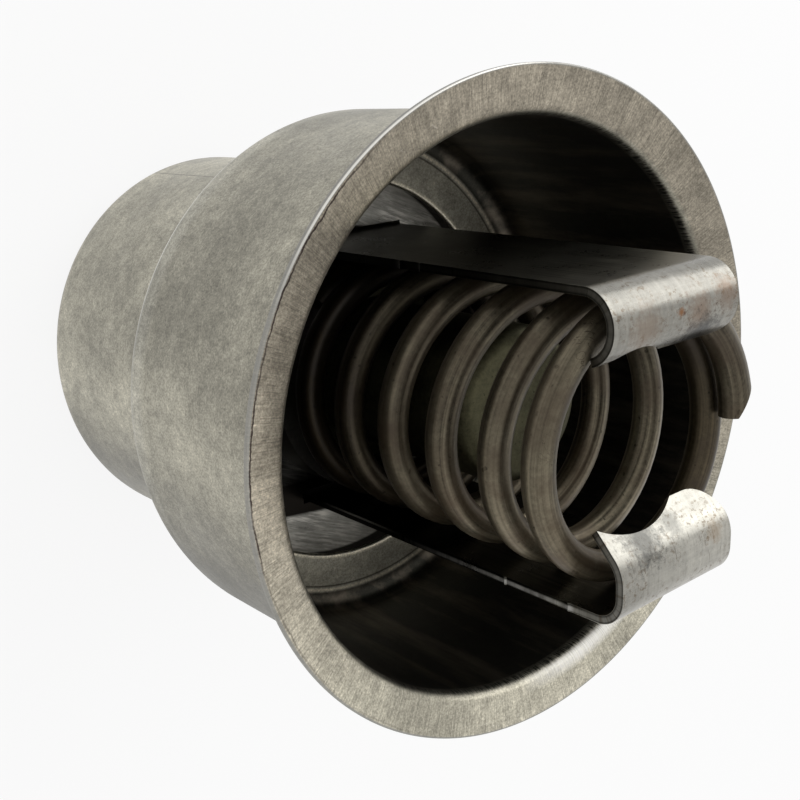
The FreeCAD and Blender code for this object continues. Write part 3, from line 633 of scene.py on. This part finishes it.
sheet_tone, given, result = new_group("sheet_tone", [("Place", VECTOR, None), ("Colour", COLOUR, None)],
                                      [("Colour", COLOUR)])
patches = spread(sheet_tone, noise(sheet_tone, given["Place"], 48.0, 4.0, 0.6), 0.36, 0.64, 0.72, 1.16)
mottle = spread(sheet_tone, noise(sheet_tone, given["Place"], 620.0, 4.0, 0.7), 0.32, 0.68, 0.80, 1.20)
fine = spread(sheet_tone, noise(sheet_tone, given["Place"], 4200.0, 2.0, 0.6), 0.32, 0.68, 0.76, 1.28)
uneven = grey(sheet_tone, product(sheet_tone, patches, mottle, fine))
off_middle = arithmetic(sheet_tone, "SUBTRACT", noise(sheet_tone, given["Place"], 210.0, 2.0, 0.5, 2.0), 0.5)
curls = product(sheet_tone, spread(sheet_tone, arithmetic(sheet_tone, "ABSOLUTE", off_middle), 0.004, 0.0),
                spread(sheet_tone, noise(sheet_tone, given["Place"], 60.0, 1.0), 0.62, 0.68), 0.5)
toned = blend(sheet_tone, curls, tinted(sheet_tone, 1.0, given["Colour"], uneven), (0.62, 0.60, 0.55))
sheet_tone.links.new(toned, result["Colour"])


def sheet_paint(tree, where, colour):
    worn = add(tree, "ShaderNodeGroup", {"Place": where, "Colour": colour}, node_tree=sheet_tone)
    return worn.outputs["Colour"]


def neck_paint(tree, where, colour):
    """The dull sheet with painted shade below and painted light along its middle, with the thin dark line of
    the tube's seam running along it.
    """
    upward = parts_of(tree, where)["Y"]
    # painted light and shade: darker below, lightest just below the middle, a little darker on top
    light = product(tree, ramp_mm(tree, upward, -11.0, -1.0, 0.75, 1.34),
                    ramp_mm(tree, upward, 2.0, 10.0, 1.0, 0.83))
    painted = tinted(tree, 1.0, sheet_paint(tree, where, colour), grey(tree, light))
    square_to_seam = (math.sin(SEAM_TURN), -math.cos(SEAM_TURN), 0.0)
    off_seam = add(tree, "ShaderNodeVectorMath", {0: where, 1: square_to_seam}, operation="DOT_PRODUCT")
    seam = ramp_mm(tree, arithmetic(tree, "ABSOLUTE", off_seam.outputs["Value"]), 0.16, 0.04)
    seam = product(tree, seam, ramp_mm(tree, upward, 0.0, 1.0, 0.0, 0.6))
    return blend(tree, seam, painted, (0.10, 0.095, 0.08)), None


SHELL_DARK, SHELL_LIGHT, SHELL_ROUGH = (0.25, 0.238, 0.195), (0.465, 0.442, 0.365), (0.34, 0.50)
shell_steel = worn_finish("shell_steel", SHELL_DARK, SHELL_LIGHT, SHELL_ROUGH, (55, 55, 1500), bump=0.012,
                          paint=neck_paint, clouds=0.3, specks=0.45, lines=0.14, pits=0.4, hairs=0.5)
neck_outline = rounded([
    (NECK_MOUTH, NECK_END, 0.12), (NECK_RADIUS, NECK_END, 3.4), (NECK_RADIUS, STEP_BACK, 0),
    (NECK_RADIUS - SHEET, STEP_BACK, 0), (NECK_RADIUS - SHEET, NECK_END + SHEET, 2.7),
    (NECK_MOUTH, NECK_END + SHEET, 0.12)])
neck_tube = turned_piece("neck_tube", with_stops(neck_outline, 3.0), shell_steel, 192)
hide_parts("neck_sleeve")
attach(neck_tube, "sleeve")

# Bell. The wide drawn sleeve: flat flared lip, straight wall and a flat step turned in to a round opening.
# Satin stainless outside with painted shade below and painted highlights on the back corner and the step;
# painted shade inside, streaked brown; a roughened band where the lip turns into the wall, painted bright as
# a highlight.
FLARE_RADIUS, FLARE_Z, WALL_RADIUS, STEP_Z, STEP_LIP = 38.0, 72.1, 33.6, 38.2, 25.1
THROAT_Z, NAPE_Z, FLARE_BACK = 71.029, 70.461, 71.385
bell_outline = rounded([
    (FLARE_RADIUS, FLARE_Z, 0.18), (WALL_RADIUS - SHEET, THROAT_Z, 1.5), (WALL_RADIUS - SHEET, STEP_Z, 2.4),
    (STEP_LIP, STEP_Z, 0.45), (STEP_LIP, STEP_BACK, 0.1), (WALL_RADIUS, STEP_BACK, 3.1),
    (WALL_RADIUS, NAPE_Z, 0.8), (FLARE_RADIUS, FLARE_BACK, 0.18)])


def band(tree, value, start, full, fade, end):
    """1 from full to fade, falling to 0 at start and end, all in millimetres."""
    return product(tree, ramp_mm(tree, value, start, full), ramp_mm(tree, value, end, fade))


def along_ray(tree, at, across_size, ray_size, detail):
    """Noise drawn out along the radius and down the wall."""
    down = product(tree, arithmetic(tree, "SUBTRACT", at.reach, at.level), ray_size)
    down = add(tree, "ShaderNodeCombineXYZ", {"Z": down}).outputs[0]
    turned = add(tree, "ShaderNodeVectorMath", {0: at.around, "Scale": across_size}, operation="SCALE")
    place = add(tree, "ShaderNodeVectorMath", {0: turned.outputs["Vector"], 1: down}, operation="ADD")
    return noise(tree, place.outputs["Vector"], 1.0, detail, 0.7)


def lip_paint(tree, where, at, painted):
    """Radial grain, painted light and tint round the lip, hairline cracks, its rim with a painted glint, and
    the throat's burnish band painted bright as a highlight.
    """
    lip = product(tree, ramp_mm(tree, at.level, 70.4, 71.0), ramp_mm(tree, at.reach, 33.0, 33.5))
    grain = spread(tree, along_ray(tree, at, 230.0, 330.0, 5.0), 0.3, 0.7, 0.66, 1.38)
    painted = tinted(tree, lip, painted, grey(tree, grain))
    # painted light: the lip lighter toward the bottom and on the left, with a warmer tint below
    from_middle = arithmetic(tree, "ABSOLUTE", arithmetic(tree, "SUBTRACT", at.upward, 0.007))
    lit_left = product(tree, ramp_mm(tree, at.across, -27.0, -35.0),
                          ramp_mm(tree, from_middle, 17.0, 6.0), 0.5)
    light = product(tree, ramp_mm(tree, at.upward, -34.0, 16.0, 1.14, 0.79),
                    arithmetic(tree, "ADD", 1.0, lit_left),
                    ramp_mm(tree, at.upward, -16.0, -27.0, 1.0, 1.2))
    warmth = blend(tree, ramp_mm(tree, at.upward, -25.0, 0.0), (1.01, 1.0, 0.985), (1.045, 0.985, 0.955))
    painted = tinted(tree, lip, painted, tinted(tree, 1.0, grey(tree, light), warmth))
    off_line = arithmetic(tree, "SUBTRACT", along_ray(tree, at, 42.0, 45.0, 1.0), 0.5)
    cracks = product(tree, spread(tree, arithmetic(tree, "ABSOLUTE", off_line), 0.006, 0.0), lip,
                     spread(tree, noise(tree, where, 90.0, 1.0), 0.5, 0.6), 0.6)
    painted = blend(tree, cracks, painted, (0.10, 0.085, 0.07))
    # the rim catches the light at the upper left
    corner = product(tree, band(tree, at.reach, 37.80, 37.86, 37.98, 38.02),
                     ramp_mm(tree, at.level, 71.85, 71.92), ramp_mm(tree, at.upward, 18.0, 27.0),
                     ramp_mm(tree, at.across, 4.0, -4.0))
    rim_tone = blend(tree, corner, (0.27, 0.27, 0.255), (0.80, 0.79, 0.75))
    rim = product(tree, ramp_mm(tree, at.reach, 37.7, 37.8), ramp_mm(tree, at.level, 71.2, 71.4), 0.8)
    painted = blend(tree, rim, painted, rim_tone)
    # the roughened throat band, painted near-white on its lower side as a painted highlight and made less
    # metallic there
    burnish_and_highlight = product(tree, band(tree, at.reach, 32.95, 33.25, 33.9, 35.0),
                        ramp_mm(tree, at.level, 70.0, 70.6), ramp_mm(tree, at.across, -2.0, 8.0),
                        ramp_mm(tree, at.upward, -10.0, -20.0),
                        spread(tree, along_ray(tree, at, 300.0, 200.0, 3.0), 0.35, 0.60, 0.45, 0.95))
    painted = blend(tree, burnish_and_highlight, painted, (0.96, 0.94, 0.89))
    # a dark broken line runs just inside the rim on the left
    waver = spread(tree, noise(tree, where, 180.0, 5.0, 0.75), 0.3, 0.7, -0.22 * mm, 0.22 * mm)
    line = product(tree, band(tree, arithmetic(tree, "ADD", at.reach, waver), 37.42, 37.50, 37.62, 37.72),
                   ramp_mm(tree, at.across, -16.0, -24.0), ramp_mm(tree, at.upward, -18.0, -4.0, 0.30, 0.92),
                   spread(tree, noise(tree, where, 120.0, 2.0), 0.36, 0.52, 0.45, 1.0))
    return blend(tree, line, painted, (0.035, 0.022, 0.022)), burnish_and_highlight


def bore_paint(tree, where, at, painted):
    """Painted shade along the inside of the wall, nearly black with brown streaks, and torn dark teeth just
    inside the throat.
    """
    # painted shade: the inside of the wall darkened nearly to black, streaked brown
    inside = product(tree, band(tree, at.reach, 30.4, 30.8, 32.95, 33.1),
                     ramp_mm(tree, at.level, 69.8, 69.0), 0.94)
    streaks = noise(tree, scaled(tree, where, (260.0, 260.0, 45.0)), 1.0, 5.0, 0.65)
    streaked_shade = blend(tree, spread(tree, streaks, 0.46, 0.72), (0.014, 0.0135, 0.011), (0.125, 0.104, 0.080))
    painted = blend(tree, inside, painted, streaked_shade)
    teeth = product(tree, spread(tree, along_ray(tree, at, 210.0, 420.0, 2.0), 0.47, 0.54),
                    band(tree, at.level, 69.2, 69.6, 70.2, 70.7), ramp_mm(tree, at.reach, 33.6, 33.2), 0.9)
    return blend(tree, teeth, painted, (0.02, 0.02, 0.017))


def step_paint(tree, at, painted):
    """Two bright rings painted on the step as painted highlights on its edges, the outer one with a dark line
    beside it.
    """
    on_step = product(tree, ramp_mm(tree, at.level, 39.0, 38.6), ramp_mm(tree, at.level, 37.9, 38.1))
    for start, end in ((30.0, 30.7), (25.15, 25.85)):
        edge_glint = product(tree, on_step, band(tree, at.reach, start, start + 0.2, end - 0.25, end))
        painted = tinted(tree, edge_glint, painted, (1.7, 1.65, 1.6))
    dark_line = product(tree, on_step, band(tree, at.reach, 29.6, 29.7, 29.85, 29.95), 0.7)
    return blend(tree, dark_line, painted, (0.03, 0.025, 0.02))


def outside_paint(tree, at, painted):
    """The outer wall with painted shade below and painted light above; a painted sheen on its corner at the
    back, with a painted glint along the creased top of that corner.
    """
    on_wall = product(tree, ramp_mm(tree, at.reach, 33.0, 33.3), ramp_mm(tree, at.level, 71.0, 70.4))
    # painted light and shade: darker below, lighter about the middle
    light = product(tree, ramp_mm(tree, at.upward, -16.0, 0.0, 0.44, 1.18),
                    ramp_mm(tree, at.upward, 2.0, 10.0, 1.0, 0.85))
    painted = tinted(tree, on_wall, painted, grey(tree, light))
    # painted sheen on the back corner and a painted glint along its creased top, on the outside of the sheet
    mid_sheet = ramp_mm(tree, at.level, 38.8, 40.1, 32.6 * mm, 33.25 * mm)
    outside = ramp_mm(tree, arithmetic(tree, "SUBTRACT", at.reach, mid_sheet), -0.1, 0.1)
    painted_sheen = product(tree, band(tree, at.level, 38.2, 39.0, 41.6, 43.0), outside)
    painted = tinted(tree, painted_sheen, painted, (1.16, 1.17, 1.2))
    crease_glint = product(tree, band(tree, at.level, 38.3, 38.7, 39.6, 39.9), outside,
                     ramp_mm(tree, at.upward, 6.0, 20.0, 0.0, 0.80))
    return blend(tree, crease_glint, painted, (0.90, 0.88, 0.83))


def bell_paint(tree, where, colour):
    """Lip, bore, step and outer wall, told apart by their reach from the axis and their level."""
    at = sleeve_spot(tree, where)
    painted, burnish_and_highlight = lip_paint(tree, where, at, sheet_paint(tree, where, colour))
    painted = outside_paint(tree, at, step_paint(tree, at, bore_paint(tree, where, at, painted)))
    return painted, arithmetic(tree, "SUBTRACT", 1.0, product(tree, burnish_and_highlight, 0.75))


bell_steel = worn_finish("bell_steel", SHELL_DARK, SHELL_LIGHT, SHELL_ROUGH, (55, 55, 1500), bump=0.012,
                         paint=bell_paint, clouds=0.25, specks=0.45, lines=0.14, pits=0.4, hairs=0.5)
bell_shell = turned_piece("bell_shell", with_stops(bell_outline, 2.0), bell_steel, 256)
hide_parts("valve_sleeve")
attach(bell_shell, "sleeve")

# Spring seat. A stamped ring round the element that the back coil stands on.
# Oil has left it nearly black.
seat_steel = worn_finish("seat_steel", (0.04, 0.037, 0.032), (0.11, 0.105, 0.09), (0.32, 0.5), (60, 60, 900),
                         lines=0.2)
dress("spring_seat", seat_steel)

# Main spring. Heavy oil-drawn wire, closed at both ends. The drawing die left lines along the wire and oil
# has stained it brown. Its back coil stands on the spring seat and its front coil lies under the hooks.
WIRE, COIL_RADIUS, TURNS, COIL_START = 3.45, 14.2, 6.378, -3.0
SPRING_TOP, SPRING_FOOT, TRAVEL = 89.87, 43.22, 9.0
CLOSED_TURN, BLEND_TURN, STOPS_A_TURN, WIRE_SIDES = 0.8, 0.25, 64, 48


def open_share(turn):
    """0 in an end coil, 1 in the open ones, with a short change between them."""
    change = min(max((min(turn, TURNS - turn) - CLOSED_TURN) / BLEND_TURN, 0.0), 1.0)
    return change * change * (3 - 2 * change)


stops = np.linspace(0, TURNS, int(TURNS * STOPS_A_TURN) + 1)
shares = np.array([open_share((a + b) / 2) * (b - a) for a, b in zip(stops, stops[1:])])
open_pitch = (SPRING_TOP - SPRING_FOOT - WIRE - (TURNS - shares.sum()) * WIRE) / shares.sum()
drops = np.concatenate([[0.0], np.cumsum((np.diff(stops) - shares) * WIRE + shares * open_pitch)])
coil = bpy.data.curves.new("coil_line", "CURVE")
coil.dimensions = "3D"
coil_spline = coil.splines.new("POLY")
coil_spline.points.add(len(stops) - 1)
for point, turn, drop in zip(coil_spline.points, stops, drops):
    angle = math.radians(COIL_START + 360 * turn)
    across, upward = COIL_RADIUS * math.cos(angle), COIL_RADIUS * math.sin(angle)
    level = SPRING_TOP - WIRE / 2 - drop
    point.co = ((FRAME_X + across) * mm, (FRAME_Y + upward) * mm, level * mm, 1.0)
coil_object = put_in_scene("coil_line", coil)

wire_tree = bpy.data.node_groups.new("wire_along_coil", "GeometryNodeTree")
wire_tree.interface.new_socket("Geometry", in_out="INPUT", socket_type="NodeSocketGeometry")
wire_radius = wire_tree.interface.new_socket("Wire Radius", in_out="INPUT", socket_type="NodeSocketFloat")
wire_sides = wire_tree.interface.new_socket("Sides", in_out="INPUT", socket_type="NodeSocketInt")
wire_finish = wire_tree.interface.new_socket("Finish", in_out="INPUT", socket_type="NodeSocketMaterial")
wire_tree.interface.new_socket("Geometry", in_out="OUTPUT", socket_type="NodeSocketGeometry")
wire_in = wire_tree.nodes.new("NodeGroupInput").outputs
wire_out = wire_tree.nodes.new("NodeGroupOutput").inputs
ring = add(wire_tree, "GeometryNodeCurvePrimitiveCircle", {"Resolution": wire_in["Sides"],
                                                           "Radius": wire_in["Wire Radius"]}, mode="RADIUS")
part_way = add(wire_tree, "GeometryNodeSplineParameter")
named_round = add(wire_tree, "GeometryNodeStoreNamedAttribute", {
    "Geometry": ring.outputs["Curve"], "Name": "wire_round", "Value": part_way.outputs["Factor"]},
    data_type="FLOAT", domain="POINT")
named_along = add(wire_tree, "GeometryNodeStoreNamedAttribute", {
    "Geometry": wire_in["Geometry"], "Name": "wire_along", "Value": part_way.outputs["Length"]},
    data_type="FLOAT", domain="POINT")
wire_mesh = add(wire_tree, "GeometryNodeCurveToMesh", {
    "Curve": named_along.outputs["Geometry"], "Profile Curve": named_round.outputs["Geometry"],
    "Fill Caps": True})
real = add(wire_tree, "GeometryNodeRealizeInstances", {"Geometry": wire_mesh.outputs["Mesh"]})
finished = add(wire_tree, "GeometryNodeSetMaterial", {"Geometry": real.outputs["Geometry"],
                                                      "Material": wire_in["Finish"]})
wire_tree.links.new(finished.outputs["Geometry"], wire_out["Geometry"])


def wire_length(tree):
    """How far along the wire a point lies, from its front end."""
    return add(tree, "ShaderNodeAttribute", attribute_name="wire_along").outputs["Fac"]


def wire_flat(tree):
    """The wire unrolled: round it and along it."""
    turned = add(tree, "ShaderNodeAttribute", attribute_name="wire_round").outputs["Fac"]
    angle = product(tree, turned, 2 * math.pi)
    return add(tree, "ShaderNodeCombineXYZ", {
        "X": product(tree, arithmetic(tree, "COSINE", angle), WIRE / 2 * mm),
        "Y": product(tree, arithmetic(tree, "SINE", angle), WIRE / 2 * mm),
        "Z": wire_length(tree)}).outputs[0]


def wire_stain(tree, where, colour):
    """Brown oil stains in patches and cracked scale near the front end; painted shade darker toward the back,
    and painted light and shade, lighter on the lower side and darker above.
    """
    place, length = object_place(tree), wire_length(tree)
    spot = parts_of(tree, place)
    patches = noise(tree, place, 160.0, 5.0, 0.65)
    stained = blend(tree, spread(tree, patches, 0.42, 0.66, 0.0, 0.8), colour, (0.060, 0.040, 0.022))
    off_line = arithmetic(tree, "SUBTRACT", noise(tree, where, 330.0, 3.0, 0.6, 1.5), 0.5)
    scale_cracks = product(tree, spread(tree, arithmetic(tree, "ABSOLUTE", off_line), 0.012, 0.003),
                           ramp_mm(tree, length, 60.0, 30.0),
                           spread(tree, noise(tree, where, 140.0, 1.0), 0.50, 0.56), 0.8)
    stained = blend(tree, scale_cracks, stained, (0.030, 0.020, 0.012))
    oily = product(tree, ramp_mm(tree, length, 66.0, 76.0), ramp_mm(tree, length, 112.0, 98.0), 0.85)
    stained = tinted(tree, oily, stained, (0.30, 0.26, 0.20))
    # painted shade: darker toward the back, deep in the sleeve; then painted light and shade, lighter on the
    # low side and darker on the high side
    stained = tinted(tree, ramp_mm(tree, spot["Z"], 68.0, 52.0), stained, (0.20, 0.17, 0.13))
    stained = tinted(tree, 1.0, stained, grey(tree, ramp_mm(tree, spot["Y"], -16.0, 4.0, 1.5, 0.76)))
    return stained, spread(tree, patches, 0.40, 0.70, 0.80, 0.55)


spring_wire = worn_finish("spring_wire", (0.034, 0.028, 0.017), (0.205, 0.176, 0.122), (0.30, 0.48),
                          (1500, 1500, 12), bump=0.018, place=wire_flat, paint=wire_stain, lines=0.95,
                          clouds=0.15, specks=0.3, pits=0.5)
wire_build = coil_object.modifiers.new("wire", "NODES")
wire_build.node_group = wire_tree
wire_build[wire_radius.identifier] = WIRE / 2 * mm
wire_build[wire_sides.identifier] = WIRE_SIDES
wire_build[wire_finish.identifier] = spring_wire
bpy.context.view_layer.update()
evaluated = coil_object.evaluated_get(bpy.context.evaluated_depsgraph_get())
spring_mesh = bpy.data.meshes.new_from_object(evaluated)
bpy.data.objects.remove(coil_object)
# the cutter left the front end slanted on the outer, upper half of the wire
END_CUT, CUT_ZONE, CUT_WAY = 1.8, 8.0, (0.79, 0.61)
for vertex, at in zip(spring_mesh.vertices, spring_mesh.attributes["wire_along"].data):
    gone = at.value / mm
    if gone < CUT_ZONE:
        out_x, out_y = vertex.co.x / mm - FRAME_X, vertex.co.y / mm - FRAME_Y
        level = vertex.co.z / mm - (SPRING_TOP - WIRE / 2) + gone * WIRE / (2 * math.pi * COIL_RADIUS)
        toward = CUT_WAY[0] * (math.hypot(out_x, out_y) - COIL_RADIUS) + CUT_WAY[1] * level
        turn = END_CUT * max(0.0, toward) * (1 - gone / CUT_ZONE) / COIL_RADIUS
        vertex.co.x = (FRAME_X + out_x * math.cos(turn) - out_y * math.sin(turn)) * mm
        vertex.co.y = (FRAME_Y + out_x * math.sin(turn) + out_y * math.cos(turn)) * mm
coil_spring = put_in_scene("coil_spring", spring_mesh)
face_outward(coil_spring, 40.0)
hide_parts("main_spring")
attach(coil_spring, "frame")
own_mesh(coil_spring)

# Studio. A pale floor under the seat disc, white all round, and one large soft lamp beyond the mouth
# on its far side. The eye looks down into the mouth.
HALF_FLOOR, FLOOR_WHITE, FLOOR_GLOW, SKY_LIGHT = 3.0, 0.9, 0.86, 0.75
LAMP_PLACE, LAMP_AIM, LAMP_SIZE, LAMP_POWER = (0.44, 0.35, 0.27), (0.0, 0.0, 0.08), 0.42, 1.25
EYE_PLACE, EYE_LENS, EYE_SHIFT = (-91.34, 40.23, 163.62), 53.371, (0.0379, 0.1538)
EYE_RIGHT, EYE_UP = (0.78765, -0.0657, 0.61258), (0.27574, 0.92677, -0.25526)
EYE_BACK = (-0.55095, 0.37008, 0.74806)


def seen_by(tree, *rays):
    """1 for rays of any of these kinds, 0 for light on the object."""
    kinds = add(tree, "ShaderNodeLightPath").outputs
    shown = kinds[rays[0]]
    for ray in rays[1:]:
        shown = arithmetic(tree, "MAXIMUM", shown, kinds[ray])
    return shown


floor_mesh = bpy.data.meshes.new("floor")
floor_corners = [(x * HALF_FLOOR, y * HALF_FLOOR, 0) for x, y in ((-1, -1), (1, -1), (1, 1), (-1, 1))]
floor_mesh.from_pydata(floor_corners, [], [(0, 1, 2, 3)])
pale = bpy.data.materials.new("pale_floor")
pale.use_nodes = True
pale_tree = pale.node_tree
pale_skin = pale_tree.nodes["Principled BSDF"]
pale_skin.inputs["Base Color"].default_value = (FLOOR_WHITE, FLOOR_WHITE, FLOOR_WHITE, 1.0)
pale_skin.inputs["Roughness"].default_value = 0.9
glow = add(pale_tree, "ShaderNodeEmission", {"Color": (1.0, 1.0, 1.0, 1.0), "Strength": 1.0})
floor_seen = seen_by(pale_tree, "Is Camera Ray", "Is Glossy Ray")
both = add(pale_tree, "ShaderNodeMixShader", {"Fac": product(pale_tree, floor_seen, FLOOR_GLOW)})
pale_tree.links.new(pale_skin.outputs[0], both.inputs[1])
pale_tree.links.new(glow.outputs[0], both.inputs[2])
pale_tree.links.new(both.outputs[0], pale_tree.nodes["Material Output"].inputs["Surface"])
floor_mesh.materials.append(pale)
floor = put_in_scene("floor", floor_mesh)

world = bpy.data.worlds.new("white_studio")
bpy.context.scene.world = world
world.use_nodes = True
sky = world.node_tree
background = sky.nodes["Background"]
background.inputs["Color"].default_value = (1.0, 1.0, 1.0, 1.0)
sky_seen = seen_by(sky, "Is Camera Ray", "Is Glossy Ray", "Is Transmission Ray")
sky.links.new(spread(sky, sky_seen, 0.0, 1.0, SKY_LIGHT, 1.0), background.inputs["Strength"])

lamp = bpy.data.lights.new("key_lamp", "AREA")
lamp.size = LAMP_SIZE
lamp.energy = LAMP_POWER
key_lamp = put_in_scene("key_lamp", lamp)
key_lamp.location = LAMP_PLACE
key_lamp.rotation_mode = "QUATERNION"
key_lamp.rotation_quaternion = (Vector(LAMP_AIM) - Vector(LAMP_PLACE)).to_track_quat("-Z", "Y")

eye = bpy.data.cameras.new("eye")
eye.sensor_width = 36.0
eye.lens = EYE_LENS
eye.shift_x, eye.shift_y = EYE_SHIFT
eye.clip_start, eye.clip_end = 0.005, 20.0
camera = put_in_scene("eye", eye)
turned_to = Matrix((EYE_RIGHT, EYE_UP, EYE_BACK)).transposed().to_4x4()
camera.matrix_world = Matrix.Translation(Vector(EYE_PLACE) * mm) @ turned_to
bpy.context.scene.camera = camera
bpy.context.scene.view_settings.view_transform = "Standard"
